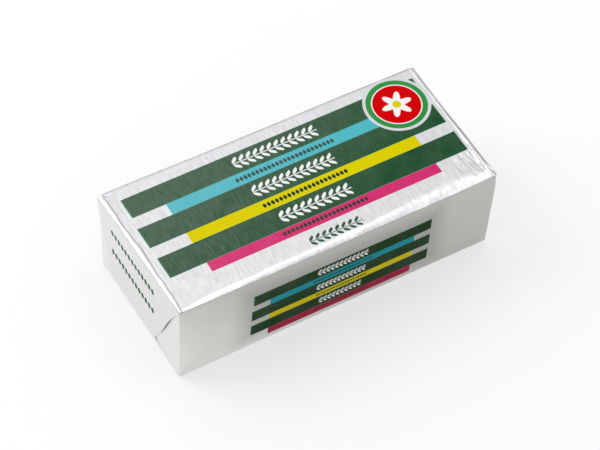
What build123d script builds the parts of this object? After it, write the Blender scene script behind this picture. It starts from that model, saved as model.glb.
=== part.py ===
"""A wrapped 250 g block of butter, shut and full, built as one solid.

The butter is pressed into a brick and wrapped in one sheet of printed foil laminate. The sheet runs down
each end as a panel that narrows towards its foot, over two tucks that come round from the long sides. Under
the block the long sides lap over each other, and the two end panels turn under and lie on top of that lap.

Frame: X along the length, Y across the width, Z up. The origin is on the resting plane, under the middle.
The long side that carries the small print faces -Y, and the main print faces up. Millimetres throughout.
"""

from build123d import *
import os

# The brick.
block_length = 128.4  # over the two end panels
block_width = 57.6  # across the two long sides, near the top
block_height = 39.0  # from the resting plane to the pinched ridges at the top

# The cross-section.
top_crown = 0.4  # rise of the top from its shoulders to its middle
shoulder_width = 3.6  # band along each long top edge that falls away to the crease
shoulder_drop = 0.9
side_bulge = 0.2  # swell of each long side between its top and its foot
side_lean = 0.6  # how much further in the foot of each long side stands than its top
crease_radius = 0.5  # the crisp long creases at the top
base_radius = 1.2  # the softer long edges underneath
upright_radius = 0.7  # the four upright edges

# The folded sheet: each layer stands this far proud of the layer that it lies on.
layer_step = 0.35

# The end panels.
panel_foot_height = 4.2  # height of a panel's foot above the resting plane
panel_front_inset = 17.5  # how far its foot stops short of the front side
panel_back_inset = 8.5  # and of the back side
panel_corner_inset = 1.0  # where its slanted edges start, at the top corners
panel_turn_radius = 0.3  # the panel's rounded top and foot

# The bevel below each panel's foot, where the sheet turns under.
bevel_depth = 0.9
bevel_spread = 7.0  # how much wider the bevel is at the base than at its top, on each side

# The ridge pinched into the sheet along each top end edge.
ridge_radius = 0.55
ridge_rise = 0.3  # how far it stands above the top
ridge_inset = 0.75  # its middle, from the end of the brick under the panel

# The folds underneath.
lap_width = 24.0  # the overlap of the two long sides
lap_offset = -3.0  # the overlap lies a little to the front
flap_reach = 26.0  # how far an end flap runs in under the block
flap_tip_width = 14.0
flap_side_inset = 3.0  # gap between a flap's root and the long side

# What follows from those sizes.
core_length = block_length - 2 * layer_step
core_base = 2 * layer_step  # the lap and the end flaps lie below the brick itself
top_middle = block_height - ridge_rise
shoulder_top = top_middle - top_crown
crease_height = shoulder_top - shoulder_drop
half_width = block_width / 2
base_y = half_width - side_lean
bulge_y = (half_width + base_y) / 2 + side_bulge
bulge_z = (core_base + crease_height) / 2
shoulder_y = half_width - shoulder_width
core_end = core_length / 2
ridge_x = core_end - ridge_inset
ridge_depth = ridge_radius - ridge_rise  # how far the ridge's middle lies below the top


# The brick's section, drawn across its length with the height upwards.
with BuildSketch(Plane.YZ) as cross_section:
    with BuildLine():
        Line((-base_y, core_base), (base_y, core_base))
        ThreePointArc((base_y, core_base), (bulge_y, bulge_z), (half_width, crease_height))
        Line((half_width, crease_height), (shoulder_y, shoulder_top))
        ThreePointArc((shoulder_y, shoulder_top), (0, top_middle), (-shoulder_y, shoulder_top))
        Line((-shoulder_y, shoulder_top), (-half_width, crease_height))
        ThreePointArc((-half_width, crease_height), (-bulge_y, bulge_z), (-base_y, core_base))
    make_face()


# The outline that an end panel keeps to: wide at the top and narrow at its foot.
with BuildSketch(Plane.YZ) as panel_outline:
    with BuildLine():
        Polyline(
            (-half_width + panel_corner_inset, block_height),
            (half_width - panel_corner_inset, block_height),
            (half_width - panel_back_inset, panel_foot_height),
            (-half_width + panel_front_inset, panel_foot_height),
            close=True,
        )
    make_face()


# The brick of butter, with crisp creases above and softer edges underneath.
with BuildPart() as brick:
    extrude(cross_section.sketch, amount=core_end, both=True)
    long_edges = brick.edges().filter_by(Axis.X)
    fillet(long_edges.group_by(Axis.Z)[0], base_radius)
    at_crease = brick.edges().filter_by(Axis.X).filter_by_position(
        Axis.Z, crease_height - layer_step, crease_height + layer_step
    )
    fillet(at_crease, crease_radius)
    uprights = brick.faces().filter_by(Axis.X).edges().filter_by(
        lambda edge: edge.bounding_box().size.Z > block_height / 2
    )
    fillet(uprights, upright_radius)


# The bevel that is pressed into the foot of each end, cut out of the brick at +X.
with BuildPart() as foot_bevel:
    with BuildSketch(Plane.XZ):
        with BuildLine():
            Polyline(
                (core_end, panel_foot_height),
                (core_end + layer_step, panel_foot_height),
                (core_end + layer_step, 0),
                (core_end - bevel_depth, 0),
                close=True,
            )
        make_face()
    extrude(amount=half_width, both=True)
    with BuildSketch(Plane.YZ.offset(core_end - bevel_depth)):
        with BuildLine():
            Polyline(
                (-half_width + panel_front_inset, panel_foot_height),
                (half_width - panel_back_inset, panel_foot_height),
                (half_width - panel_back_inset + bevel_spread, 0),
                (-half_width + panel_front_inset - bevel_spread, 0),
                close=True,
            )
        make_face()
    extrude(amount=bevel_depth + layer_step, mode=Mode.INTERSECT)


# One end panel, at +X, lying on the tucks.
with BuildPart() as end_panel:
    extrude(cross_section.sketch.moved(Location((core_end, 0, 0))), amount=layer_step)
    extrude(
        panel_outline.sketch.moved(Location((core_end, 0, 0))),
        amount=layer_step,
        mode=Mode.INTERSECT,
    )
    outer_rim = end_panel.faces().sort_by(Axis.X)[-1].edges()
    fillet(outer_rim.sort_by(Axis.Z)[0], panel_turn_radius)
    fillet(outer_rim.filter_by_position(Axis.Z, shoulder_top, block_height), panel_turn_radius)


# The ridge pinched along the top of the end at +X. It follows the crown of the top, and its tips are round.
with BuildPart() as pinched_ridge:
    with BuildLine(Plane.YZ.offset(ridge_x)) as crown:
        ThreePointArc(
            (-shoulder_y, shoulder_top - ridge_depth),
            (0, top_middle - ridge_depth),
            (shoulder_y, shoulder_top - ridge_depth),
        )
    with BuildSketch(Plane(crown.line @ 0, z_dir=crown.line % 0)):
        Circle(ridge_radius)
    sweep(path=crown.line)
    with Locations(crown.line @ 0, crown.line @ 1):
        Sphere(ridge_radius)


# One end flap, turned under the block at +X.
with BuildPart() as end_flap:
    with BuildSketch(Plane.XY):
        with BuildLine():
            Polyline(
                (core_end - bevel_depth, -half_width + flap_side_inset),
                (core_end - bevel_depth, half_width - flap_side_inset),
                (core_end - flap_reach, flap_tip_width / 2),
                (core_end - flap_reach, -flap_tip_width / 2),
                close=True,
            )
        make_face()
    extrude(amount=core_base)


# The lap of the two long sides, along the middle of the underside.
with BuildPart() as long_lap:
    with BuildSketch(Plane.XY.offset(layer_step)):
        with Locations((0, lap_offset)):
            Rectangle(core_length - 2 * bevel_depth, lap_width)
    extrude(amount=layer_step)


# The whole pack. The features of one end are mirrored to the other.
with BuildPart() as wrapped_block:
    add(brick.part)
    add(foot_bevel.part, mode=Mode.SUBTRACT)
    add(mirror(foot_bevel.part, about=Plane.YZ, mode=Mode.PRIVATE), mode=Mode.SUBTRACT)
    for feature in (end_panel, pinched_ridge, end_flap):
        add(feature.part)
        add(mirror(feature.part, about=Plane.YZ, mode=Mode.PRIVATE))
    add(long_lap.part)

wrapped_block.part.label = "wrapped_block"

os.makedirs("parts", exist_ok=True)
export_step(wrapped_block.part, "parts/wrapped_block.step")

bounds = wrapped_block.part.bounding_box()
print("solids:", len(wrapped_block.part.solids()), "valid:", wrapped_block.part.is_valid)
print("volume cm3:", round(wrapped_block.part.volume / 1000, 2))
print("box:", bounds.min, bounds.max)
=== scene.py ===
# %% [markdown]
# # A wrapped block of butter
#
# The real thing is a 250 g brick of butter, pressed square and wrapped in one sheet of aluminium foil
# laminated to thin paper. The sheet goes round the brick like a sleeve, its ends are folded flat as two side
# tucks with a narrowing panel over them, and everything is turned under the block. What the eye reads is the
# foil: satin, slightly slack, bright along its creases, and printed with flat bands of ink.
#
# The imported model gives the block's place and size. Everything below is measured from it, in millimetres,
# and turned to metres only where a mesh is made.

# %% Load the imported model
import math

import bpy
import numpy as np
from mathutils import Matrix, Vector


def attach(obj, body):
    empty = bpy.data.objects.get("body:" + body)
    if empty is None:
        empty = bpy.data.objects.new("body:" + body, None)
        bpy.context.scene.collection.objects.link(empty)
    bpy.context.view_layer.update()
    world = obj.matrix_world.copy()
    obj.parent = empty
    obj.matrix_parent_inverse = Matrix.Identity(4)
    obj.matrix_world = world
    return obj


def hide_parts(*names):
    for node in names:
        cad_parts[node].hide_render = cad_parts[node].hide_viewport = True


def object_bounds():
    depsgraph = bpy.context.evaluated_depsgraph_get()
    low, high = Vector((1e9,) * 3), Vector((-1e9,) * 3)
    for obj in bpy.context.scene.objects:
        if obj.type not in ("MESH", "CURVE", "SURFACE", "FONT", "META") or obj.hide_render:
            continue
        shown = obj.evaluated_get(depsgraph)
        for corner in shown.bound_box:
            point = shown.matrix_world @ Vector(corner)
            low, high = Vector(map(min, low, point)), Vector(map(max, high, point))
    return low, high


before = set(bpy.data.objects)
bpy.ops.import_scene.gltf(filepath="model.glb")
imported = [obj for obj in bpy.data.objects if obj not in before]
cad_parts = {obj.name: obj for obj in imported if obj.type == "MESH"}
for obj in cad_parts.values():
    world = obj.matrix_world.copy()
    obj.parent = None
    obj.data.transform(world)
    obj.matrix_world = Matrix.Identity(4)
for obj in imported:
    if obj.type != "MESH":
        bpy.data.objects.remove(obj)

cad_low, cad_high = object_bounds()
MM = 0.001
half_length = cad_high.x / MM
half_width = cad_high.y / MM
height = cad_high.z / MM
print(f"block: {2 * half_length:.1f} x {2 * half_width:.1f} x {height:.1f} mm")

# %% [markdown]
# ## The camera
#
# A small product is usually shot from some way off with a long lens, so that its edges stay nearly parallel.
# The camera is placed by its direction from the block, its distance and its roll, because those are the
# numbers a photographer thinks in. The block sits a little off the middle of the picture, so the point that
# the camera aims at is moved by the same amount.

# %% Camera
camera_azimuth = math.radians(-33.86)  # 0 looks along +Y; this is from the front, round to the left
camera_elevation = math.radians(52.0)
camera_roll = math.radians(4.43)
camera_distance = 992.7  # from the block's middle
aim_right = 0.84  # the block's middle stands this far left of the picture's middle
aim_down = 2.02  # and this far above it

back = Vector((
    math.sin(camera_azimuth) * math.cos(camera_elevation),
    -math.cos(camera_azimuth) * math.cos(camera_elevation),
    math.sin(camera_elevation),
))
level_right = Vector((math.cos(camera_azimuth), math.sin(camera_azimuth), 0))
level_up = back.cross(level_right)
right = level_right * math.cos(camera_roll) + level_up * math.sin(camera_roll)
up = level_up * math.cos(camera_roll) - level_right * math.sin(camera_roll)
aim = Vector((0, 0, height / 2)) + right * aim_right - up * aim_down

camera_data = bpy.data.cameras.new("camera")
camera_data.lens = 168
camera_data.sensor_width = 36
camera_data.clip_start = 0.05
camera_data.clip_end = 50
camera = bpy.data.objects.new("camera", camera_data)
bpy.context.scene.collection.objects.link(camera)
facing = Matrix((right, up, back)).transposed().to_4x4()
camera.matrix_world = Matrix.Translation((aim + back * camera_distance) * MM) @ facing
bpy.context.scene.camera = camera
print("camera at", [round(c, 3) for c in camera.location])

# %% [markdown]
# ## Nodes and colours
#
# Every material and every Geometry Nodes tree below is built with one helper. It adds a node, applies its
# settings, and fills its inputs: an input that is a node or a socket is linked, anything else is set as a
# value. Colours are written as on a paint card, in sRGB, and one function turns them to the linear values
# that Blender calculates with.

# %% Helpers for nodes and colours
MIX_A, MIX_B, MIX_RESULT = 6, 7, 2  # a Mix node's sockets for colours, by number, because their names repeat


def add(tree, kind, inputs=(), **settings):
    """Adds one node. Inputs are a list for the first sockets, or a dict of socket names or numbers."""
    node = tree.nodes.new(kind)
    for name, value in settings.items():
        setattr(node, name, value)
    pairs = inputs.items() if isinstance(inputs, dict) else enumerate(inputs)
    for key, value in pairs:
        if isinstance(value, bpy.types.Node):
            value = value.outputs[0]
        if isinstance(value, bpy.types.NodeSocket):
            tree.links.new(value, node.inputs[key])
        else:
            node.inputs[key].default_value = value
    return node


def linear(code):
    """An sRGB colour such as "#3a5f46" as the linear values that a shader takes."""
    channels = [int(code[i:i + 2], 16) / 255 for i in (1, 3, 5)]
    return [c / 12.92 if c <= 0.04045 else ((c + 0.055) / 1.055) ** 2.4 for c in channels] + [1.0]


# %% [markdown]
# ## Shapes for the print
#
# The print is flat ink, so it belongs in the material and not in the mesh. Each printed shape is a small
# node group that works out how far inside its outline a point lies, in millimetres: more than zero is ink.
# Distances like these can be combined with minimum and maximum, and they give an edge that is sharp at any
# size.
#
# Every group takes the point as U and V, measured from the shape's own middle, and two or three sizes.

# %% Bar, disc and seeds
def new_shape(name, *sizes):
    """Starts a group with inputs U, V and the named sizes. Its output is the distance inside the outline."""
    group = bpy.data.node_groups.new(name, "ShaderNodeTree")
    for socket in ("U", "V", *sizes):
        group.interface.new_socket(socket, in_out="INPUT", socket_type="NodeSocketFloat")
    group.interface.new_socket("Inside", in_out="OUTPUT", socket_type="NodeSocketFloat")
    start = group.nodes.new("NodeGroupInput")
    return group, start.outputs


def end_shape(group, inside):
    """Gives a group its output."""
    add(group, "NodeGroupOutput", [inside])
    return group


def within(group, value, half):
    """How far a value lies within half of its middle, to either side."""
    off = add(group, "ShaderNodeMath", [value], operation="ABSOLUTE")
    return add(group, "ShaderNodeMath", [half, off], operation="SUBTRACT")


def repeated(group, value, pitch):
    """The value counted again from the middle of each pitch, and half the pitch."""
    half_pitch = add(group, "ShaderNodeMath", [pitch, 0.5], operation="MULTIPLY")
    lowest = add(group, "ShaderNodeMath", [half_pitch, -1.0], operation="MULTIPLY")
    return add(group, "ShaderNodeMath", [value, half_pitch, lowest], operation="WRAP"), half_pitch


def taper(group, off, reach, falloff):
    """1 in the middle of a seed or leaf, less by the square of the way to its tip."""
    share = add(group, "ShaderNodeMath", [off, reach], operation="DIVIDE")
    square = add(group, "ShaderNodeMath", [share, 2.0], operation="POWER")
    return add(group, "ShaderNodeMath", [square, -falloff, 1.0], operation="MULTIPLY_ADD")


def bar_shape():
    """A rectangle, given by half its width and half its height."""
    group, point = new_shape("bar", "Half width", "Half height")
    inside_u = within(group, point["U"], point["Half width"])
    inside_v = within(group, point["V"], point["Half height"])
    return end_shape(group, add(group, "ShaderNodeMath", [inside_u, inside_v], operation="MINIMUM"))


def disc_shape():
    """A disc, given by its radius. Scallop deepens its rim into petals, and Petals says how many."""
    group, point = new_shape("disc", "Radius", "Scallop", "Petals")
    flat = add(group, "ShaderNodeCombineXYZ", [point["U"], point["V"]])
    radius = add(group, "ShaderNodeVectorMath", [flat], operation="LENGTH").outputs["Value"]
    angle = add(group, "ShaderNodeMath", [point["V"], point["U"]], operation="ARCTAN2")
    turns = add(group, "ShaderNodeMath", [angle, point["Petals"]], operation="MULTIPLY")
    wave = add(group, "ShaderNodeMath", [turns], operation="COSINE")
    rim = add(group, "ShaderNodeMath", [wave, point["Scallop"], point["Radius"]], operation="MULTIPLY_ADD")
    return end_shape(group, add(group, "ShaderNodeMath", [rim, radius], operation="SUBTRACT"))


def seeds_shape():
    """A row of small pointed seeds, given by half the row's length, the pitch and half a seed's height."""
    group, point = new_shape("seeds", "Half length", "Pitch", "Half height")
    cell, half_pitch = repeated(group, point["U"], point["Pitch"])
    narrowed = taper(group, cell, half_pitch, 1.35)
    girth = add(group, "ShaderNodeMath", [narrowed, point["Half height"]], operation="MULTIPLY")
    seed = within(group, point["V"], girth)
    end = within(group, point["U"], point["Half length"])
    return end_shape(group, add(group, "ShaderNodeMath", [seed, end], operation="MINIMUM"))


# %% [markdown]
# A sprig is a stem with pairs of slanted leaves. A leaf is a lens: its girth falls with the square of the
# distance from its middle. One leaf is enough, because Wrap repeats it along the stem and Absolute mirrors
# it across.

# %% Sprig
def sprig_shape():
    """A leafy sprig along U, given by half its length, half its height and the pitch of its leaf pairs."""
    group, point = new_shape("sprig", "Half length", "Half height", "Pitch")
    slant = math.radians(38)
    off_stem = add(group, "ShaderNodeMath", [point["V"]], operation="ABSOLUTE")
    lean = add(group, "ShaderNodeMath", [off_stem, -math.tan(slant), point["U"]], operation="MULTIPLY_ADD")
    cell, half_pitch = repeated(group, lean, point["Pitch"])
    rise = add(group, "ShaderNodeMath", [point["Half height"], 0.55], operation="MULTIPLY")
    reach = add(group, "ShaderNodeMath", [point["Half height"], 0.48], operation="MULTIPLY")
    up_leaf = add(group, "ShaderNodeMath", [off_stem, rise], operation="SUBTRACT")
    girth = add(group, "ShaderNodeMath", [taper(group, up_leaf, reach, 1.0), 0.62], operation="MULTIPLY")
    girth = add(group, "ShaderNodeMath", [girth, half_pitch], operation="MULTIPLY")
    leaf = within(group, cell, girth)
    thickness = add(group, "ShaderNodeMath", [point["Half height"], 0.07], operation="MULTIPLY")
    stem = add(group, "ShaderNodeMath", [thickness, off_stem], operation="SUBTRACT")
    either = add(group, "ShaderNodeMath", [leaf, stem], operation="MAXIMUM")
    end = within(group, point["U"], point["Half length"])
    return end_shape(group, add(group, "ShaderNodeMath", [either, end], operation="MINIMUM"))


shapes = {
    "bar": bar_shape(),
    "disc": disc_shape(),
    "seeds": seeds_shape(),
    "sprig": sprig_shape(),
}
print("print shapes:", ", ".join(shapes))

# %% [markdown]
# ## The artwork
#
# The artwork is a list of shapes in the order in which the press lays them down: shape, middle, sizes and
# ink. It is drawn at the size of the top. The long sides carry the same bands at six tenths of the size,
# which their map takes care of. The real pack has words on its bands and a maker's seal at one end; this one
# has leafy sprigs, rows of seeds and a plain ring with a blossom.
#
# Ink isn't perfectly even. A hairline of teal shows round the green bands, where the printing plates are a
# little out of register. The sides' inks are darker copies of the top's, as painted shade on the sides.

# %% Artwork
inks = {
    "green": "#154a27",
    "teal": "#2c8a66",
    "blue": "#40b2c0",
    "yellow": "#d9cb00",
    "pink": "#d1296e",
    "white": "#eef0ee",
    "leaf": "#14502c",
    "dark": "#1b3b2a",
    "red": "#cf040a",
    "meadow": "#2a8d3f",
    "rim": "#d4d5d8",
    # the sides' inks: darker copies of the top's, painted shade on the sides
    "green_side": "#233f24",
    "blue_side": "#1c93a2",
    "yellow_side": "#d9c70a",
    "pink_side": "#b12345",
}
lacquer_left = {"yellow": 0.08, "red": 0.06, "pink": 0.6, "meadow": 0.5}  # some inks soak most of it up

band_middle = 0.8  # the green bands stand a little to the right of the block's middle
band_half = 59.8
bar_middle = 1.0  # so do the coloured bars


def bands(bar_half, last_bar, side=""):
    """The three green bands with a coloured bar under each, and what is printed on them.

    The last bar is given by its middle and half its height, because the sides carry it taller.
    """
    return [
        ("bar", (bar_middle, 12.35), (bar_half, 2.75), "blue" + side),
        ("bar", (bar_middle, -1.98), (bar_half, 2.75), "yellow" + side),
        ("bar", (bar_middle, last_bar[0]), (bar_half, last_bar[1]), "pink" + side),
        ("bar", (band_middle + 0.35, 19.32), (band_half - 0.2, 4.5), "teal"),
        ("bar", (band_middle - 0.1, 5.12), (band_half + 0.25, 4.68), "teal"),
        ("bar", (band_middle - 0.1, -9.22), (band_half + 0.25, 4.73), "teal"),
        ("bar", (band_middle + 0.45, 19.35), (band_half - 0.45, 4.35), "green" + side),
        ("bar", (band_middle, 5.17), (band_half, 4.52), "green" + side),
        ("bar", (band_middle, -9.17), (band_half, 4.57), "green" + side),
        ("sprig", (1.0, 19.35), (17.0, 2.7, 2.83), "white"),
        ("sprig", (0.5, 5.17), (16.6, 2.7, 2.77), "white"),
        ("sprig", (1.0, -9.17), (14.4, 2.7, 2.88), "white"),
        ("seeds", (1.0, 12.3), (20.0, 1.6, 1.0), "dark"),
        ("seeds", (1.0, -1.95), (17.22, 1.64, 1.0), "dark"),
        ("seeds", (1.0, -15.9), (17.22, 1.64, 0.95), "dark"),
    ]


seal_at = (49.4, 15.85)
seal = [
    ("disc", seal_at, (12.4, 0.0, 0.0), "rim"),
    ("disc", seal_at, (11.25, 0.0, 0.0), "meadow"),
    ("disc", seal_at, (9.3, 0.0, 0.0), "white"),
    ("disc", seal_at, (8.85, 0.0, 0.0), "red"),
    ("disc", seal_at, (4.4, 1.55, 6.0), "white"),
    ("disc", seal_at, (1.6, 0.0, 0.0), "yellow"),
]
weight_mark = [("sprig", (1.0, -23.1), (10.5, 2.2, 2.6), "leaf")]

top_artwork = bands(46.3, (-15.95, 2.25)) + weight_mark + seal
side_artwork = bands(48.4, (-16.8, 3.1), "_side")
end_artwork = [
    ("seeds", (4.2, 11.0), (15.6, 2.4, 1.5), "leaf"),
    ("seeds", (4.2, 21.8), (15.6, 2.4, 1.5), "leaf"),
]
print("printed shapes on the top:", len(top_artwork))

# %% [markdown]
# ## Foil laminate
#
# Aluminium foil, about 7 micrometres thick, glued to paper and rolled matt. The paper's fibres and the
# rolling show through as a fine grain that runs across the block, and handling leaves small dents and dull
# patches. All are far too shallow to model, so they are bump and roughness.
#
# Two maps carry the patterns: "Sheet" is the flat sheet in millimetres, for the grain, and "Artwork" is the
# print's own drawing in millimetres.

# %% Patterns and colour of bare foil
def foil_patterns(tree, sheet):
    """The foil's fibres, its dull patches and its dents, as three noises over the flat sheet."""
    grain_width = 0.7  # mm, about the width of the bundles of fibres that show through
    grain_length = 4.5
    stretch = add(tree, "ShaderNodeVectorMath", [sheet, (1 / grain_width, 1 / grain_length, 0)],
                  operation="MULTIPLY")
    grain = add(tree, "ShaderNodeTexNoise", {"Vector": stretch, "Scale": 1.0, "Detail": 2.5,
                                             "Distortion": 0.4})
    patch_size = 9.0  # mm
    patches = add(tree, "ShaderNodeTexNoise", {"Vector": sheet, "Scale": 1 / patch_size, "Detail": 2.0})
    dent_size = 3.6  # mm
    dents = add(tree, "ShaderNodeTexNoise", {"Vector": sheet, "Scale": 1 / dent_size, "Detail": 2.0,
                                             "Distortion": 0.8})
    return grain, patches, dents


def bare_foil(tree, grain, shades):
    """The grey of bare foil, which goes from its darker to its lighter shade with the fibres."""
    fibre = add(tree, "ShaderNodeMapRange", {"Value": grain, "From Min": 0.3, "From Max": 0.7})
    darker, lighter = (linear(shade) for shade in shades)
    return add(tree, "ShaderNodeMix", {"Factor": fibre, MIX_A: darker, MIX_B: lighter},
               data_type="RGBA").outputs[MIX_RESULT]


# %% [markdown]
# Shade is painted into the foil's colour in two ways. It may be darkened gradually along one direction of the
# drawing, and the sides are darkened in a soft-edged field round their print.

# %% Painted shade: a gradient and a field round the print
def print_shape(tree, drawing, shape, middle, sizes):
    """One printed shape about its middle: how far inside its outline each point of the drawing lies."""
    place = add(tree, "ShaderNodeVectorMath", [drawing, (*middle, 0)], operation="SUBTRACT")
    point = add(tree, "ShaderNodeSeparateXYZ", [place])
    return add(tree, "ShaderNodeGroup", [point.outputs["X"], point.outputs["Y"], *sizes],
               node_tree=shapes[shape])


def painted_shade_gradient(tree, drawing, base, toward, start, finish, least):
    """Painted shade: dims a colour from its least share at start to the whole at finish, in millimetres
    toward one way.
    """
    place = add(tree, "ShaderNodeVectorMath", [drawing, (*toward, 0)], operation="DOT_PRODUCT")
    tone = add(tree, "ShaderNodeMapRange", {"Value": place.outputs["Value"], "From Min": start,
                                            "From Max": finish, "To Min": least, "To Max": 1.0},
               interpolation_type="SMOOTHSTEP")
    return add(tree, "ShaderNodeVectorMath", {0: base, "Scale": tone}, operation="SCALE").outputs[0]


def shaded_round_print(tree, drawing, base, strength):
    """Painted shade: greys a colour in a soft-edged field round the print."""
    shade_middle, shade_half = (0.8, 8.0), (60.0, 19.0)
    field = print_shape(tree, drawing, "bar", shade_middle, shade_half)
    shade_share = add(tree, "ShaderNodeMapRange", {"Value": field, "From Min": -17.0, "From Max": 5.0,
                                            "To Min": 0.0, "To Max": strength},
               interpolation_type="SMOOTHSTEP")
    # the grey of the painted shade round the print
    return add(tree, "ShaderNodeMix", {"Factor": shade_share, MIX_A: base, MIX_B: linear("#7c7c78")},
               data_type="RGBA", blend_type="MULTIPLY").outputs[MIX_RESULT]


# %% [markdown]
# The ink is ordinary opaque ink. Each shape covers what was laid down before it, and some inks soak up most
# of the lacquer that is to lie on them, so the printing also says how much lacquer is left.

# %% Printing
def printed(tree, drawing, base, artwork, gloss_share):
    """Prints the artwork: its colour, how much of a place is ink, and how much lacquer lies there."""
    inked, coated = None, gloss_share
    edge = 0.05  # mm, how soft the edge of the ink is
    for shape, middle, sizes, ink in artwork:
        inside = print_shape(tree, drawing, shape, middle, sizes)
        cover = add(tree, "ShaderNodeMapRange", {"Value": inside, "From Min": -edge, "From Max": edge})
        base = add(tree, "ShaderNodeMix", {"Factor": cover, MIX_A: base, MIX_B: linear(inks[ink])},
                   data_type="RGBA").outputs[MIX_RESULT]
        inked = cover if inked is None else add(tree, "ShaderNodeMath", [inked, cover], operation="MAXIMUM")
        if ink in lacquer_left:
            left = add(tree, "ShaderNodeMapRange", {"Value": cover, "To Min": 1.0,
                                                    "To Max": lacquer_left[ink]})
            coated = add(tree, "ShaderNodeMath", [left, coated], operation="MULTIPLY")
    return base, inked, coated


# %% [markdown]
# A thin lacquer lies over it all, and on the ink it gives all of the gloss. It thins out towards the right
# front corner, and it breaks up along the fibres.

# %% Lacquer
def lacquer_coat(tree, sheet, grain, patches, coated):
    """How much lacquer lies at each point of the sheet."""
    far_left = add(tree, "ShaderNodeVectorMath", [sheet, (-0.55, 0.85, 0)], operation="DOT_PRODUCT")
    spread = add(tree, "ShaderNodeMapRange", {"Value": far_left.outputs["Value"], "From Min": -28.0,
                                              "From Max": 42.0, "To Min": 0.2, "To Max": 1.0})
    spread = add(tree, "ShaderNodeMath", [patches, 0.6, spread], operation="MULTIPLY_ADD")
    spread = add(tree, "ShaderNodeMath", [spread, 0.3], operation="SUBTRACT")
    broken = add(tree, "ShaderNodeMapRange", {"Value": grain, "From Min": 0.3, "From Max": 0.75,
                                              "To Min": 0.6, "To Max": 1.5})
    lacquer = add(tree, "ShaderNodeMath", [spread, broken], operation="MULTIPLY", use_clamp=True)
    return add(tree, "ShaderNodeMath", [lacquer, coated], operation="MULTIPLY")


# %% [markdown]
# Together these steps make the material. Bare foil is all metal, and where ink lies the surface stops being
# one. The top, the sides, the ends and the plain foil underneath differ only in their settings.

# %% Foil material
def foil_laminate(name, artwork, grain_strength, satin, shades, painted_shading=None, round_print_shade=0.0, gloss_share=1.0):
    """Satin aluminium laminate with the given artwork printed on it.

    Shades are its darker and lighter grey, and satin is its roughness. The next two arguments paint shade:
    the first holds the last four inputs of the painted shade gradient, the second is the strength of the
    painted shade round the print. Gloss share is how much lacquer lies on the sheet.
    """
    material = bpy.data.materials.new(name)
    material.use_nodes = True
    tree = material.node_tree
    tree.nodes.clear()

    sheet = add(tree, "ShaderNodeUVMap", uv_map="Sheet")
    grain, patches, dents = foil_patterns(tree, sheet)
    base = bare_foil(tree, grain, shades)
    drawing = add(tree, "ShaderNodeUVMap", uv_map="Artwork")
    if painted_shading:
        base = painted_shade_gradient(tree, drawing, base, *painted_shading)
    if round_print_shade:
        base = shaded_round_print(tree, drawing, base, round_print_shade)
    base, inked, coated = printed(tree, drawing, base, artwork, gloss_share)

    metal = 1.0
    if inked is not None:
        metal = add(tree, "ShaderNodeMath", [1.0, inked], operation="SUBTRACT")
    rough = add(tree, "ShaderNodeMapRange", {"Value": patches, "From Min": 0.3, "From Max": 0.7,
                                             "To Min": satin - 0.05, "To Max": satin + 0.05})
    relief = add(tree, "ShaderNodeMath", [dents, 1.6, grain], operation="MULTIPLY_ADD")
    bump = add(tree, "ShaderNodeBump", {"Height": relief, "Strength": grain_strength, "Distance": 0.00012})
    lacquer = lacquer_coat(tree, sheet, grain, patches, coated)
    shader = add(tree, "ShaderNodeBsdfPrincipled", {
        "Base Color": base, "Metallic": metal, "Roughness": rough, "Normal": bump,
        "Coat Weight": lacquer, "Coat Roughness": 0.24, "Coat IOR": 1.8, "Coat Normal": bump,
        "Specular IOR Level": 0.0,  # the gloss is all in the lacquer
    })
    add(tree, "ShaderNodeOutputMaterial", [shader])
    return material


# %% The four finishes
# The foil is one sheet, so these pairs of greys are lit and shaded copies of it, painted light: each pair is
# set to how the top, the long sides or the ends catch the light, and the long sides' pair is warmer.
cool, warm, plain = ("#d6d6d9", "#ececef"), ("#e3e2de", "#e7e6e2"), ("#e1e1e1", "#e9e9e9")
# painted shade: the top darkens towards its right front corner
foil_top = foil_laminate(
    "foil_laminate_printed_top", top_artwork, grain_strength=0.30, satin=0.37, shades=cool,
    painted_shading=((-0.7, 0.7), -50.0, 40.0, 0.90),
)
# painted shade: the sides darken towards the right end and the top of their drawing, and round their print
foil_side = foil_laminate(
    "foil_laminate_printed_side", side_artwork, grain_strength=0.03, satin=0.30, shades=warm,
    painted_shading=((-0.302, -0.604), -8.0, 40.0, 0.66), round_print_shade=0.4, gloss_share=0.5,
)
# painted shade: the end panels darken along the inner edge of their lips
foil_end = foil_laminate(
    "foil_laminate_printed_end", end_artwork, grain_strength=0.12, satin=0.33, shades=plain,
    painted_shading=((0.0, 1.0), 0.9, 2.1, 0.76),
)
foil_plain = foil_laminate("foil_laminate_plain", [], grain_strength=0.12, satin=0.33, shades=plain)
print("materials:", len(bpy.data.materials))

# %% [markdown]
# ## The sleeve: the sheet round the brick
#
# The brick could be a cube with a bevel, but foil over butter has a different edge everywhere: crisp and low
# along the top, wide and soft where it was pressed, pinched at the corners. So it is made as a lattice of
# points over a box, close together near the edges, and each point is then moved by functions of where it
# lies.

# %% Lattice over a box
def graded(low, high, finest, growth, widest):
    """Places from low to high, close together near both ends and wider apart in the middle."""
    half = (high - low) / 2
    places, step = [0.0], finest
    while places[-1] + step < half:
        places.append(places[-1] + step)
        step = min(step * growth, widest)
    places = np.array(places) * half / places[-1]
    return np.concatenate([low + places, high - places[-2::-1]])


# Each side's axis, and which end of that axis it stands at.
SIDES = {"top": (2, -1), "bottom": (2, 0), "front": (1, 0), "back": (1, -1), "left": (0, 0), "right": (0, -1)}


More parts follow.
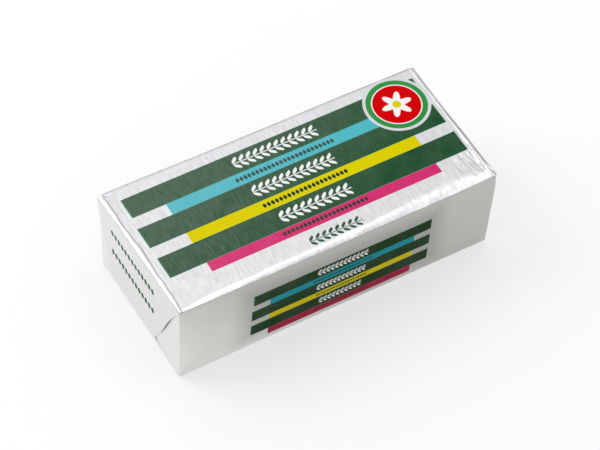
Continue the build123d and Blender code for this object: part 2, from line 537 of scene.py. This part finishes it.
def box_lattice(xs, ys, zs):
    """The lattice points on a box's surface, each once, and each side's quads, facing outwards."""
    sizes = (len(xs), len(ys), len(zs))
    on_surface = np.ones(sizes, bool)
    on_surface[1:-1, 1:-1, 1:-1] = False
    number = np.full(sizes, -1)
    number[on_surface] = np.arange(on_surface.sum())
    points = np.stack(np.meshgrid(xs, ys, zs, indexing="ij"), -1)[on_surface]
    quads = {}
    for side, (axis, end) in SIDES.items():
        layer = np.take(number, end, axis)
        ring = [layer[:-1, :-1], layer[1:, :-1], layer[1:, 1:], layer[:-1, 1:]]
        if (end == 0) != (axis == 1):
            ring.reverse()
        quads[side] = np.stack(ring, -1).reshape(-1, 4)
    return points, quads


fold_layer = 0.35  # mm that each folded layer stands proud
ridge_rise = 0.3  # how far the lips of the end panels rise above the top
core_low = np.array([-half_length + fold_layer, -half_width, 2 * fold_layer])
core_high = np.array([half_length - fold_layer, half_width, height - ridge_rise])
spacing = [graded(low, high, finest=0.09, growth=1.08, widest=0.8) for low, high in zip(core_low, core_high)]
flat_points, side_quads = box_lattice(*spacing)
print("sleeve:", len(flat_points), "points,", sum(len(q) for q in side_quads.values()), "quads")

# %% [markdown]
# The relief is a set of plain rules. The top is crowned, and along each long edge a shoulder falls away to
# the crease. The front shoulder is narrow at the left end and widest towards the right, where the block was
# pressed. A crease is a line pressed into the sheet: a valley with a low bank on each side. The deep ones
# are placed one by one, and the fine crinkles are drawn at random from a fixed seed.

# %% Rules for the relief
def fade(distance, reach):
    """1 at no distance, falling smoothly to 0 at the reach and beyond."""
    t = np.clip(1 - distance / reach, 0, 1)
    return t * t * (3 - 2 * t)


def shoulder(distance, width, drop):
    """How far a shoulder lies below the flat: nothing at its width, and the whole drop at the edge."""
    return drop * np.clip(1 - distance / width, 0, 1) ** 1.7


def round_over(distance, radius):
    """How far a quarter-round lies below the flat, by the distance from the edge."""
    d = np.clip(radius - distance, 0, radius)
    return radius - np.sqrt(radius ** 2 - d ** 2)


def crease(u, v, start, end, width, depth):
    """A line pressed into the sheet from start to end. A positive depth raises a ridge instead."""
    start, end = np.array(start), np.array(end)
    along = end - start
    length = np.hypot(*along)
    share = ((u - start[0]) * along[0] + (v - start[1]) * along[1]) / length ** 2
    off = ((u - start[0]) * along[1] - (v - start[1]) * along[0]) / length
    ends = np.clip(np.minimum(share, 1 - share) * 4 + 0.35, 0, 1)
    t = off / width
    return depth * (1 - t * t) * np.exp(-t * t) * ends * (2 - ends)


# %% Shoulders and creases of the top
# The front shoulder's width and drop, and how far the far side swells out, each by the place along the block.
front_width = [(-64, 1.4), (-50, 2.7), (-10, 3.1), (22, 4.2), (43, 6.8), (54, 6.3), (64, 3.4)]
front_drop = [(-64, 0.2), (-50, 0.65), (-10, 0.85), (25, 1.0), (43, 1.25), (54, 1.1), (64, 0.5)]
far_swell = [(-64, 0.95), (-54, 0.95), (-37, 0.6), (-20, 0.4), (30, 0.3), (53, 0.0), (64, -0.1)]
top_crown = 0.15  # how far the top falls from its middle to its long edges

top_creases = [  # start, end, width and depth: first the left rear corner, then the right front one
    ((-59.4, 24.6), (-59.6, 15.0), 0.5, -0.16),
    ((-60.7, 13.5), (-60.1, 8.0), 1.0, -0.08),
    ((-63.2, 27.9), (-60.4, 27.0), 0.6, -0.16),
    ((-58.2, 24.8), (-57.6, 20.8), 0.4, -0.05),
    ((61.2, -21.0), (63.9, -28.8), 0.6, -0.50),
    ((61.0, -14.6), (60.5, -21.0), 0.9, -0.40),
    ((59.3, -15.6), (60.6, -23.8), 0.8, -0.42),
    ((57.1, -15.2), (56.8, -20.4), 0.9, -0.42),
    ((58.2, -17.8), (59.3, -24.0), 0.8, -0.40),
    ((55.2, -16.8), (55.0, -22.4), 0.8, -0.30),
    ((56.8, -20.0), (57.6, -25.0), 0.8, -0.30),
    ((61.7, -4.0), (61.3, -12.0), 0.9, -0.34),
    ((53.2, -15.8), (53.7, -22.0), 1.0, -0.26),
    ((51.0, -17.8), (51.3, -22.8), 0.9, -0.14),
    # Faint marks of handling, left of the middle.
    ((-27.0, 2.2), (-22.0, 7.8), 1.4, -0.035),
    ((-24.0, 1.4), (-17.5, 5.2), 1.2, 0.03),
    ((-20.0, 5.2), (-13.5, 8.6), 1.0, -0.03),
    ((-44.0, 3.5), (-38.0, 6.5), 1.6, -0.03),
]

random = np.random.default_rng(7)
for _ in range(80):  # the slack foil towards the right end, crinkled across the block
    x0 = half_length - 3 - 60 * random.random() ** 1.5
    y0 = random.uniform(-25, -14) if random.random() < 0.7 else random.uniform(-14, 26)
    turn = random.normal(0, 0.22)
    reach = random.uniform(2.5, 8.0)
    tip = (x0 + reach * math.sin(turn), y0 - reach * math.cos(turn))
    depth = random.uniform(-0.07, 0.04) * (1 + fade(half_length - x0, 22))
    top_creases.append(((x0, y0), tip, random.uniform(0.5, 1.1), depth))
print("creases on the top:", len(top_creases))


# %% Relief of the top
def top_relief(x, y):
    """Height of the top above or below its flat, in millimetres."""
    crown = -top_crown * (y / half_width) ** 2
    xs, widths = zip(*front_width)
    drops = [drop for _, drop in front_drop]
    uneven = 0.35 * np.sin(x / 2.3) + 0.3 * np.sin(x / 4.1 + 1) + 0.2 * np.sin(x / 0.9 + 2)
    uneven = uneven * np.interp(x, [-64, 0, 40], [0.3, 0.6, 1.2])
    front = shoulder(y + half_width, np.interp(x, xs, widths) + uneven, np.interp(x, xs, drops))
    far = shoulder(half_width - y, width=1.5, drop=0.42)
    to_end = half_length - fold_layer - np.abs(x)
    rise = crown - front - far - round_over(to_end, np.where(x < 0, 1.7, 1.2))
    for start, end, width, depth in top_creases:
        rise = rise + crease(x, y, start, end, width, depth)
    return rise


# %% [markdown]
# Each side's relief moves the points along that side's own direction, and it fades out round the corner, so
# neighbouring sides stay joined. The brick also leans: its foot is a little smaller than its top, as pressed
# butter is. Near the top the sheet isn't quite square: it swells out along the far side, the front crease is
# drawn in a little, and the far left corner is pulled aside. The end panels follow the same rules.

# %% Shape the sleeve
def pulled(x, y, below_top):
    """How far the sheet stands out near the top: behind at the far side, and aside at the far left."""
    swell = np.interp(x, *zip(*far_swell)) * fade(half_width - y, 5) * fade(below_top, 26)
    aside = 0.65 * np.clip((y + 12) / 40, 0, 1) * fade(half_length + x, 6) * fade(below_top, 16)
    return swell, aside


def side_relief(x, share):
    """How far a long side stands out, by the place along it and the share of its height."""
    along = np.exp(-(((x + 2) / 42) ** 4))
    streak = 0.10 * np.exp(-(((np.abs(x) - 43 + 14 * share) / 7) ** 2))
    return (0.25 * along + streak) * np.sin(np.pi * share) ** 2


def shape_sleeve(flat):
    """Moves the flat lattice to the wrapped block's form."""
    x, y, z = flat.T
    radius = 0.22  # the foil's own bend at a creased edge
    base_round = 0.4  # the softer edges underneath
    foot_inset = 0.6  # how much further in the foot of each side stands than its top
    inner = np.clip(flat, core_low + radius, core_high - radius)
    away = flat - inner
    placed = inner + radius * away / np.maximum(np.linalg.norm(away, axis=1, keepdims=True), 1e-9)
    below_top = core_high[2] - z
    share = (z - core_low[2]) / (core_high[2] - core_low[2])

    placed[:, 2] += top_relief(x, y) * fade(below_top, 9)
    edge = np.minimum(half_width - np.abs(y), half_length - fold_layer - np.abs(x))
    placed[:, 2] += round_over(edge, base_round) * fade(z - core_low[2], 1.4)

    lean = foot_inset * (1 - share)
    placed[:, 1] -= np.sign(y) * lean * np.minimum(1, np.abs(y) / half_width)
    placed[:, 0] -= np.sign(x) * lean * np.minimum(1, np.abs(x) / half_length) ** 4
    placed[:, 1] += side_relief(x, share) * np.sign(y) * fade(half_width - np.abs(y), 8)
    swell, aside = pulled(x, y, below_top)
    drawn_in = np.interp(x, [0, 45], [0.45, 0.65]) * fade(half_width + y, 5) * fade(below_top, 8)
    placed[:, 1] += swell + drawn_in
    placed[:, 0] -= aside
    return placed


# %% [markdown]
# ## From points to a mesh
#
# One function makes a mesh object from points in millimetres, quads, and the maps that its materials read.
# Maps belong to face corners, so each is given as one pair of numbers for each corner of each quad.

# %% Mesh helper
def make_piece(name, points, quads, maps, materials, slots, slack):
    """A mesh object. Slots gives each quad's material, and slack says how loose the foil is at each point."""
    mesh = bpy.data.meshes.new(name)
    mesh.from_pydata((points * MM).tolist(), [], quads.tolist())
    for title, values in maps.items():
        layer = mesh.uv_layers.new(name=title)
        layer.data.foreach_set("uv", np.asarray(values, np.float32).ravel())
    for material in materials:
        mesh.materials.append(material)
    mesh.polygons.foreach_set("material_index", np.asarray(slots, np.int32))
    mesh.polygons.foreach_set("use_smooth", np.ones(len(quads), bool))
    attribute = mesh.attributes.new("slack", "FLOAT", "POINT")
    attribute.data.foreach_set("value", np.asarray(slack, np.float32))
    mesh.update()
    piece = bpy.data.objects.new(name, mesh)
    bpy.context.scene.collection.objects.link(piece)
    return piece


# %% Maps of the sleeve
def sleeve_maps(flat, quads):
    """The sleeve's three maps: the flat sheet, the artwork, and a net of the six sides laid out flat.

    The net lays the six sides out with a gap of at least 2 mm between them.
    """
    length, width, depth = 2 * half_length, 2 * half_width, height
    small = 0.604  # the sides' print against the top's
    print_top = 9.5  # how far below the top the sides' print starts
    drawing_top = 23.7  # the upper edge of the drawing, in its own millimetres
    aside = 0.72  # how far along the side the print's middle lies
    sheet, artwork, net = [], [], []
    span = 2 * width + 2 * depth + 10
    for side, faces in quads.items():
        x, y, z = flat[faces.ravel()].T
        down = depth - z
        if side == "top":
            s, a, n = (x, y), (x, y), (x + length / 2 + 1, y + width / 2 + 1)
        elif side == "bottom":
            s, a = (x, -width - depth - y), (x, y)
            n = (x + length / 2 + 1, y + 3 * width / 2 + 3)
        elif side in ("front", "back"):
            facing, row = (1, 5) if side == "front" else (-1, depth + 7)
            s = (x, -facing * (width / 2 + down))
            a = ((facing * x - aside) / small, drawing_top - (down - print_top) / small)
            n = (x + length / 2 + 1, z + 2 * width + row)
        else:
            s, a = (np.sign(x) * (length / 2 + down), y), (y, down)
            row = 0 if side == "left" else width + 4
            n = (z + length + 5, y + width / 2 + 1 + row)
        sheet.append(np.stack(s, 1))
        artwork.append(np.stack(a, 1))
        net.append(np.stack(n, 1) / span)
    return {"Sheet": np.vstack(sheet), "Artwork": np.vstack(artwork), "OFBake": np.vstack(net)}


sleeve_faces = np.vstack(list(side_quads.values()))
sleeve_kind = {"top": 0, "front": 1, "back": 1, "bottom": 2, "left": 2, "right": 2}
sleeve_slots = np.concatenate([np.full(len(q), sleeve_kind[side]) for side, q in side_quads.items()])


def looseness(x, y, z):
    """How loose the foil is: flat underneath, tight along the sides, slacker on the top and at the ends."""
    on_top = 1 - np.clip((height - z) / 3, 0, 1)
    loose = 0.14 + 0.4 * on_top + (0.25 + 0.2 * on_top) * fade(half_length - np.abs(x), 14)
    return loose * np.clip(0.05 + z / 4, 0, 1)


sleeve_slack = looseness(*flat_points.T)
sleeve = make_piece(
    "foil_sleeve", shape_sleeve(flat_points), sleeve_faces, sleeve_maps(flat_points, side_quads),
    [foil_top, foil_side, foil_plain], sleeve_slots, sleeve_slack,
)
print("sleeve made:", len(sleeve.data.polygons), "faces")

# %% [markdown]
# ## Folded strips
#
# The end panels, the flaps under the block and the lap along its underside are all the same thing: a strip
# of doubled sheet that follows a path round the brick and has rounded, folded edges. One function makes them
# all. The path is drawn in a plane, as straight runs with a bend at each corner, and the strip's two edges
# are given by how far along the path a point lies.

# %% Path with bends
def bent_path(corners, radii, step):
    """Points along straight runs whose inner corners are arcs of the given radii."""
    corners = [np.array(c, float) for c in corners]
    points = [corners[0]]
    for before, corner, after, radius in zip(corners, corners[1:], corners[2:], radii):
        inward = (before - corner) / np.linalg.norm(before - corner)
        onward = (after - corner) / np.linalg.norm(after - corner)
        half_turn = (np.pi - math.acos(np.clip(inward @ onward, -1, 1))) / 2
        tangent = radius * math.tan(half_turn)
        centre = corner + (inward + onward) / np.linalg.norm(inward + onward) * radius / math.cos(half_turn)
        first, last = corner + inward * tangent, corner + onward * tangent
        count = max(2, int(np.linalg.norm(first - points[-1]) / step))
        points += [points[-1] + (first - points[-1]) * k / count for k in range(1, count + 1)]
        turns = max(3, int(2 * half_turn * radius / min(step, 0.3)) + 1)
        angle_from, angle_to = (first - centre), (last - centre)
        for k in range(1, turns + 1):
            mixed = angle_from * math.sin((1 - k / turns) * 2 * half_turn)
            mixed = mixed + angle_to * math.sin(k / turns * 2 * half_turn)
            points.append(centre + mixed / math.sin(2 * half_turn))
    count = max(2, int(np.linalg.norm(corners[-1] - points[-1]) / step))
    points += [points[-1] + (corners[-1] - points[-1]) * k / count for k in range(1, count + 1)]
    return np.array(points)


# %% Folded strip
def folded_strip(name, path, edges, thickness, place, columns, lift, materials, face_outside):
    """A doubled sheet with rounded edges that follows a path.

    Edges gives the two sides by the distance along the path. Place turns (outward, across, up) into a point.
    Lift says how far the sheet stands off, by the distance along and the share across.
    """
    half = thickness / 2
    run = np.concatenate([[0], np.cumsum(np.linalg.norm(np.diff(path, axis=0), axis=1))])
    tips = np.array([0.0, 0.12, 0.45, 1.0]) * half  # rows close together, where the two ends round over
    stations = np.unique(np.concatenate([tips, run[(run > half) & (run < run[-1] - half)], run[-1] - tips]))
    spine = np.stack([np.interp(stations, run, path[:, k]) for k in (0, 1)], 1)
    heading = np.gradient(spine, axis=0)
    heading /= np.linalg.norm(heading, axis=1, keepdims=True)
    outward = np.stack([-heading[:, 1], heading[:, 0]], 1)
    to_tip = np.minimum(stations, run[-1] - stations)
    girth = half * np.sqrt(np.clip(1 - (1 - np.clip(to_tip / half, 0.02, 1)) ** 2, 0, 1))

    share = np.linspace(0, 1, columns)
    bend = np.radians([22.5, 67.5])  # two more columns round over each long edge
    share = np.concatenate([[0, 0], share, [1, 1]])
    beyond = np.concatenate([-np.cos(bend), np.zeros(columns), np.cos(bend)[::-1]])
    level = np.concatenate([np.sin(bend), np.ones(columns), np.sin(bend)[::-1]])
    ring_share = np.concatenate([share, share[::-1]])
    ring_beyond = np.concatenate([beyond, beyond[::-1]])
    ring_level = np.concatenate([level, -level[::-1]])

    sides = np.array([edges(s) for s in stations])
    across = sides[:, :1] + (sides[:, 1:] - sides[:, :1]) * ring_share + ring_beyond * girth[:, None]
    offset = ring_level * girth[:, None] + lift(stations[:, None], ring_share[None, :])
    plane = spine[:, None, :] + outward[:, None, :] * offset[:, :, None]
    points = place(plane[..., 0].ravel(), across.ravel(), plane[..., 1].ravel())

    rows, ring = across.shape
    index = np.arange(rows * ring).reshape(rows, ring)
    around = np.roll(index, -1, axis=1)
    skin = np.stack([index[:-1], around[:-1], around[1:], index[1:]], -1).reshape(-1, 4)
    m = ring // 2
    upper = np.arange(m)
    lower = ring - 1 - upper
    caps = []
    for row, flip in ((0, False), (rows - 1, True)):
        cap = np.stack([index[row, upper[:-1]], index[row, lower[:-1]],
                        index[row, lower[1:]], index[row, upper[1:]]], -1)
        caps.append(cap[:, ::-1] if flip else cap)
    quads = np.vstack([skin, *caps])
    if face_outside:
        quads = quads[:, ::-1]

    width = np.broadcast_to(stations[:, None], (rows, ring)).ravel()
    drawn = np.stack([across.ravel(), width], 1)[quads.ravel()]
    sheet = np.stack([width + half_length, across.ravel()], 1)[quads.ravel()]
    slack = looseness(*points.T)
    return make_piece(name, points, quads, {"Sheet": sheet, "Artwork": drawn}, materials,
                      np.zeros(len(quads)), slack)


# %% [markdown]
# ## The end panels
#
# Each panel starts as a lip on the top, bends over the edge, runs down the end while its sides slant
# inwards, turns in at its foot and continues under the block as a flap. Its front edge stands off the tuck
# beneath it, which is why a dark line shows there.
#
# The two ends differ. The left panel's bend is wide and soft. The right one's is tighter, its fold is
# pressed down outwards, and a crease runs through its lip to the front corner.

# %% End panels
panel_thickness = 0.3
panel_front_inset, panel_back_inset = 17.9, 8.6
foot_height = 4.3
flap_reach = 26.0
lip_reach = 2.3  # how far the lip reaches in over the top


def panel_path(lip_bend, bend):
    """The way of a panel's sheet, out and up, given the radii of its lip and of its bend over the edge."""
    corners = [
        (half_length - lip_reach, height - 0.75),  # the lip's edge, sunk into the top
        (half_length - lip_reach + 0.5, height - 0.16),
        (half_length - 0.16, height - 0.17),  # the top edge of the end
        (half_length - 0.75, foot_height),
        (half_length - 1.35, 0.17),  # the turn under the block
        (half_length - flap_reach, 0.17),
    ]
    return bent_path(corners, [lip_bend, bend, 1.5, 0.5], 0.7)


left_path, right_path = panel_path(0.25, 1.5), panel_path(0.12, 0.9)
panel_run = np.concatenate([[0], np.cumsum(np.linalg.norm(np.diff(right_path, axis=0), axis=1))])
foot_at = float(np.interp(-foot_height, -right_path[:, 1], panel_run))  # distances along the path
turn_at = foot_at + 4.2
panel_end = panel_run[-1]


def panel_edges(distance):
    """The panel's front and back edges by the distance down from its lip."""
    over_edge = 2.6  # where it has passed over the top edge
    stations = [0, over_edge, foot_at - 1.5, foot_at, turn_at, panel_end]
    wave = 0.45 * math.sin(2 * math.pi * np.clip((distance - over_edge) / (foot_at - over_edge), 0, 1))
    at_tip = half_width - 7.0  # how far in from the long sides the edges end
    front = np.interp(distance, stations, [0.3, 0.9, 17.0, panel_front_inset, 1.8, at_tip])
    back = np.interp(distance, stations, [0.3, 0.8, 7.9, panel_back_inset, 1.8, at_tip])
    return -half_width + front + wave, half_width - back


def wander(x, y):
    """How far the fold at an end strays from straight: more at the left end, where the sheet was pulled."""
    stray = 0.16 * np.sin(y / 3.1 + 0.6) + 0.10 * np.sin(y / 1.3) + 0.25 * np.exp(-(((y + 3) / 6) ** 2))
    return stray * np.where(x < 0, 1.0, 0.35)


def panel_place(out, across, up, sign):
    """Turns outward, across and up into a point. The lip follows the top's crown, and its edge wanders."""
    near_top = fade(height - up, 6)
    on_top = near_top * np.clip((half_length - 0.6 - out) / 0.6, 0, 1)
    out = out - wander(sign * out, across) * on_top
    ridge = 0.06 * np.sin(across / 4.3 + 1.0) + 0.14 * np.exp(-(((across + 3) / 7) ** 2))
    up = up + ridge * near_top
    if sign > 0:  # the right end's fold is pressed down outwards, most behind its middle
        pressed = 0.34 * np.clip((half_width - np.abs(across)) / 8, 0.2, 1)
        pressed = pressed + 0.30 * np.exp(-(((across - 4) / 9) ** 2))
        up = up - pressed * np.clip(out - half_length + 1.7, 0, 1) * near_top
        up = up + (crease(out, across, (62.0, -22.3), (64.4, -29.2), 0.55, -0.4) - 0.14) * near_top
    else:
        up = up + crease(-out, across, (-63.9, 28.3), (-61.9, 26.0), 0.5, -0.3) * near_top
    up = up - (top_crown * (across / half_width) ** 2 + 0.2 * fade(half_width - np.abs(across), 3)) * near_top
    swell, aside = pulled(sign * out, across, height - up)
    return np.stack([sign * out - aside, across + swell, up], 1)


def panel_lift(distance, share):
    """How far the panel stands off the end: most along its front edge."""
    down = np.clip((distance - 3) / (foot_at - 3), 0, 1)
    front = 0.5 * np.sin(np.pi * down) ** 0.6 * np.exp(-share / 0.08)
    far = 0.3 * np.sin(np.pi * down) * np.exp(-(1 - share) / 0.06)
    belly = 0.18 * np.sin(np.pi * down) * np.sin(np.pi * share)
    return front + far + belly


panels = []
for side, sign, path in (("left", -1, left_path), ("right", 1, right_path)):
    panels.append(folded_strip(
        "end_panel_" + side, path, panel_edges, panel_thickness,
        lambda out, across, up, sign=sign: panel_place(out, across, up, sign),
        columns=64, lift=panel_lift, materials=[foil_end], face_outside=sign > 0,
    ))
print("panels:", [len(p.data.polygons) for p in panels])

# %% [markdown]
# ## The lap underneath
#
# The two long sides of the sheet meet under the block, and one lies over the other. Only the upper layer's
# edge shows, as a straight step along the underside.

# %% Underside lap
lap_thickness = 0.24
lap_up = 0.46  # the middle of the upper layer
lap_path = bent_path([(-half_width + 1.5, 0.95), (-half_width + 4.5, lap_up), (9.0, lap_up)], [6.0], 1.0)
lap = folded_strip(
    "underside_lap", lap_path, lambda distance: (-half_length + 1.9, half_length - 1.9), lap_thickness,
    lambda out, across, up: np.stack([across, out, up], 1), columns=130,
    lift=lambda distance, share: 0 * distance * share, materials=[foil_plain], face_outside=True,
)
print("lap:", len(lap.data.polygons))

# %% [markdown]
# ## Slack in the foil
#
# Foil never lies quite flat on butter. A Geometry Nodes tree moves every point along its normal by a noise,
# by more where the sheet is slack. One tree serves the sleeve and the end panels, with its depth, size and
# seed as inputs.

# %% Geometry Nodes tree for the slack
def slack_tree():
    """Moves each point along its normal by a noise, as far as the point's slack allows."""
    tree = bpy.data.node_groups.new("slack_in_the_foil", "GeometryNodeTree")
    tree.interface.new_socket("Geometry", in_out="INPUT", socket_type="NodeSocketGeometry")
    for name in ("Depth", "Size", "Seed"):
        tree.interface.new_socket(name, in_out="INPUT", socket_type="NodeSocketFloat")
    tree.interface.new_socket("Plain foil", in_out="INPUT", socket_type="NodeSocketMaterial")
    tree.interface.new_socket("Geometry", in_out="OUTPUT", socket_type="NodeSocketGeometry")
    start = tree.nodes.new("NodeGroupInput").outputs
    position = add(tree, "GeometryNodeInputPosition")
    per_size = add(tree, "ShaderNodeMath", [1.0, start["Size"]], operation="DIVIDE")
    scaled = add(tree, "ShaderNodeVectorMath", {0: position, "Scale": per_size}, operation="SCALE")
    noise = add(tree, "ShaderNodeTexNoise", {"Vector": scaled, "W": start["Seed"], "Scale": 1.0,
                                             "Detail": 1.5}, noise_dimensions="4D")
    centred = add(tree, "ShaderNodeMath", [noise, 0.5], operation="SUBTRACT")
    slack = add(tree, "GeometryNodeInputNamedAttribute", {"Name": "slack"}, data_type="FLOAT")
    depth = add(tree, "ShaderNodeMath", [centred, start["Depth"]], operation="MULTIPLY")
    depth = add(tree, "ShaderNodeMath", [depth, slack], operation="MULTIPLY")
    normal = add(tree, "GeometryNodeInputNormal")
    offset = add(tree, "ShaderNodeVectorMath", {0: normal, "Scale": depth}, operation="SCALE")
    moved = add(tree, "GeometryNodeSetPosition", {"Geometry": start["Geometry"], "Offset": offset})
    real = add(tree, "GeometryNodeRealizeInstances", [moved])
    index = add(tree, "GeometryNodeInputMaterialIndex")
    plain = add(tree, "FunctionNodeCompare", {2: index, 3: sleeve_kind["bottom"]},
                data_type="INT", operation="EQUAL")  # its third and fourth sockets take whole numbers
    finished = add(tree, "GeometryNodeSetMaterial", {"Geometry": real, "Selection": plain,
                                                     "Material": start["Plain foil"]})
    add(tree, "NodeGroupOutput", [finished])
    return tree


slack_nodes = slack_tree()


def apply_slack(piece, depth, size, seed):
    """Runs the tree on a piece and keeps the result as its plain mesh."""
    modifier = piece.modifiers.new("slack", "NODES")
    modifier.node_group = slack_nodes
    sockets = {s.name: s.identifier for s in slack_nodes.interface.items_tree if s.in_out == "INPUT"}
    settings = {"Depth": depth * MM, "Size": size * MM, "Seed": seed, "Plain foil": foil_plain}
    for name, value in settings.items():
        modifier[sockets[name]] = value
    bpy.context.view_layer.update()
    evaluated = piece.evaluated_get(bpy.context.evaluated_depsgraph_get())
    mesh = bpy.data.meshes.new_from_object(evaluated)
    piece.modifiers.remove(modifier)
    piece.data = mesh


for piece in [sleeve, *panels]:  # the same noise for all, so that the layers move together
    apply_slack(piece, depth=0.55, size=21.0, seed=1.0)
    apply_slack(piece, depth=0.09, size=4.2, seed=2.0)
print("slack applied")

# %% [markdown]
# ## Floor, light and world
#
# The block lies on a white light table. Part of the table's white is its own light, as the camera, a mirror
# or glass would see it. The rest is matt white, so the floor keeps a faint shadow.
#
# Foil is nearly a mirror, so what it mirrors is its shading. The top mirrors a world that is brightest above
# and a little behind. A large soft box behind on the left shines in the bend over the left end, and a small
# one overhead on the right shines along the front shoulder. The sides mirror the floor near the block. A
# black flag stands low behind on the right, and it draws the dark lines along the far edges.

# %% Floor
floor_half = 3000.0
floor_mesh = bpy.data.meshes.new("floor")
floor_mesh.from_pydata(
    [Vector((x, y, 0)) * MM for x, y in ((-floor_half, -floor_half), (floor_half, -floor_half),
                                         (floor_half, floor_half), (-floor_half, floor_half))],
    [], [(0, 1, 2, 3)],
)
floor = bpy.data.objects.new("floor", floor_mesh)
bpy.context.scene.collection.objects.link(floor)
paper = bpy.data.materials.new("white_light_table_floor")
paper.use_nodes = True
tree = paper.node_tree
tree.nodes.clear()
matt = add(tree, "ShaderNodeBsdfDiffuse", {"Color": linear("#fafafa")})
glow = add(tree, "ShaderNodeEmission", {"Color": (1, 1, 1, 1), "Strength": 1.0})
ray = add(tree, "ShaderNodeLightPath")
seen = add(tree, "ShaderNodeMath", [ray.outputs["Is Camera Ray"], ray.outputs["Is Glossy Ray"]],
           operation="MAXIMUM")
seen = add(tree, "ShaderNodeMath", [seen, ray.outputs["Is Transmission Ray"]], operation="MAXIMUM")
glowing = 0.55  # share of the table's white that is its own light, and takes no shadow
share = add(tree, "ShaderNodeMath", [seen, glowing], operation="MULTIPLY")
lit = add(tree, "ShaderNodeMixShader", [share, matt, glow])
add(tree, "ShaderNodeOutputMaterial", [lit])
floor_mesh.materials.append(paper)
print("floor:", len(floor_mesh.polygons), "face")

# %% World and soft boxes
world = bpy.data.worlds.new("studio")
world.use_nodes = True
bpy.context.scene.world = world
tree = world.node_tree
tree.nodes.clear()
direction = add(tree, "ShaderNodeTexCoord")
bright_side = Vector((0.2, 0.55, 0.78)).normalized()  # above the block and a little behind it
toward = add(tree, "ShaderNodeVectorMath", [direction.outputs["Generated"], bright_side],
             operation="DOT_PRODUCT")
sky = add(tree, "ShaderNodeMapRange", {"Value": toward.outputs["Value"], "From Min": -1.0, "From Max": 1.0,
                                       "To Min": 0.10, "To Max": 1.0})
flag_side = Vector((0.75, 0.66, 0.0))  # a black flag low behind and to the right, which draws the far edges
beside = add(tree, "ShaderNodeVectorMath", [direction.outputs["Generated"], flag_side],
             operation="DOT_PRODUCT")
beside = add(tree, "ShaderNodeMapRange", {"Value": beside.outputs["Value"], "From Min": 0.35,
                                          "From Max": 0.6})
sky_point = add(tree, "ShaderNodeSeparateXYZ", [direction.outputs["Generated"]])
below = add(tree, "ShaderNodeMapRange", {"Value": sky_point.outputs["Z"], "From Min": 0.12, "From Max": 0.36,
                                         "To Min": 0.94, "To Max": 0.0})
hidden = add(tree, "ShaderNodeMath", [beside, below], operation="MULTIPLY")
flag = add(tree, "ShaderNodeMath", [1.0, hidden], operation="SUBTRACT")
sky = add(tree, "ShaderNodeMath", [sky, flag], operation="MULTIPLY")
light = add(tree, "ShaderNodeBackground", {"Color": (1, 1, 1, 1), "Strength": sky})
add(tree, "ShaderNodeOutputWorld", [light])


def soft_box(name, azimuth, elevation, distance, size, radiance):
    """A square lamp that faces the block. Azimuth is from straight behind it, round to the right."""
    azimuth, elevation = math.radians(azimuth), math.radians(elevation)
    toward = Vector((
        math.sin(azimuth) * math.cos(elevation), math.cos(azimuth) * math.cos(elevation), math.sin(elevation),
    ))
    data = bpy.data.lights.new(name, "AREA")
    data.size = size
    data.energy = radiance * math.pi * size ** 2
    lamp = bpy.data.objects.new(name, data)
    bpy.context.scene.collection.objects.link(lamp)
    lamp.location = toward * distance
    lamp.rotation_euler = toward.to_track_quat("Z", "Y").to_euler()


soft_box("soft_box_behind", azimuth=-46, elevation=42, distance=1.2, size=0.74, radiance=2.65)
soft_box("soft_box_overhead", azimuth=80, elevation=72, distance=1.2, size=0.42, radiance=1.7)
bpy.context.scene.view_settings.view_transform = "Standard"
print("stage ready")

# %% [markdown]
# ## Pieces on the body
#
# Every piece rides on the one body of this part. The sleeve stands for the plain solid, and the other pieces
# go with it.

# %% Ride and finish
for piece in [sleeve, *panels, lap]:
    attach(piece, "root")
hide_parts("wrapped_block")
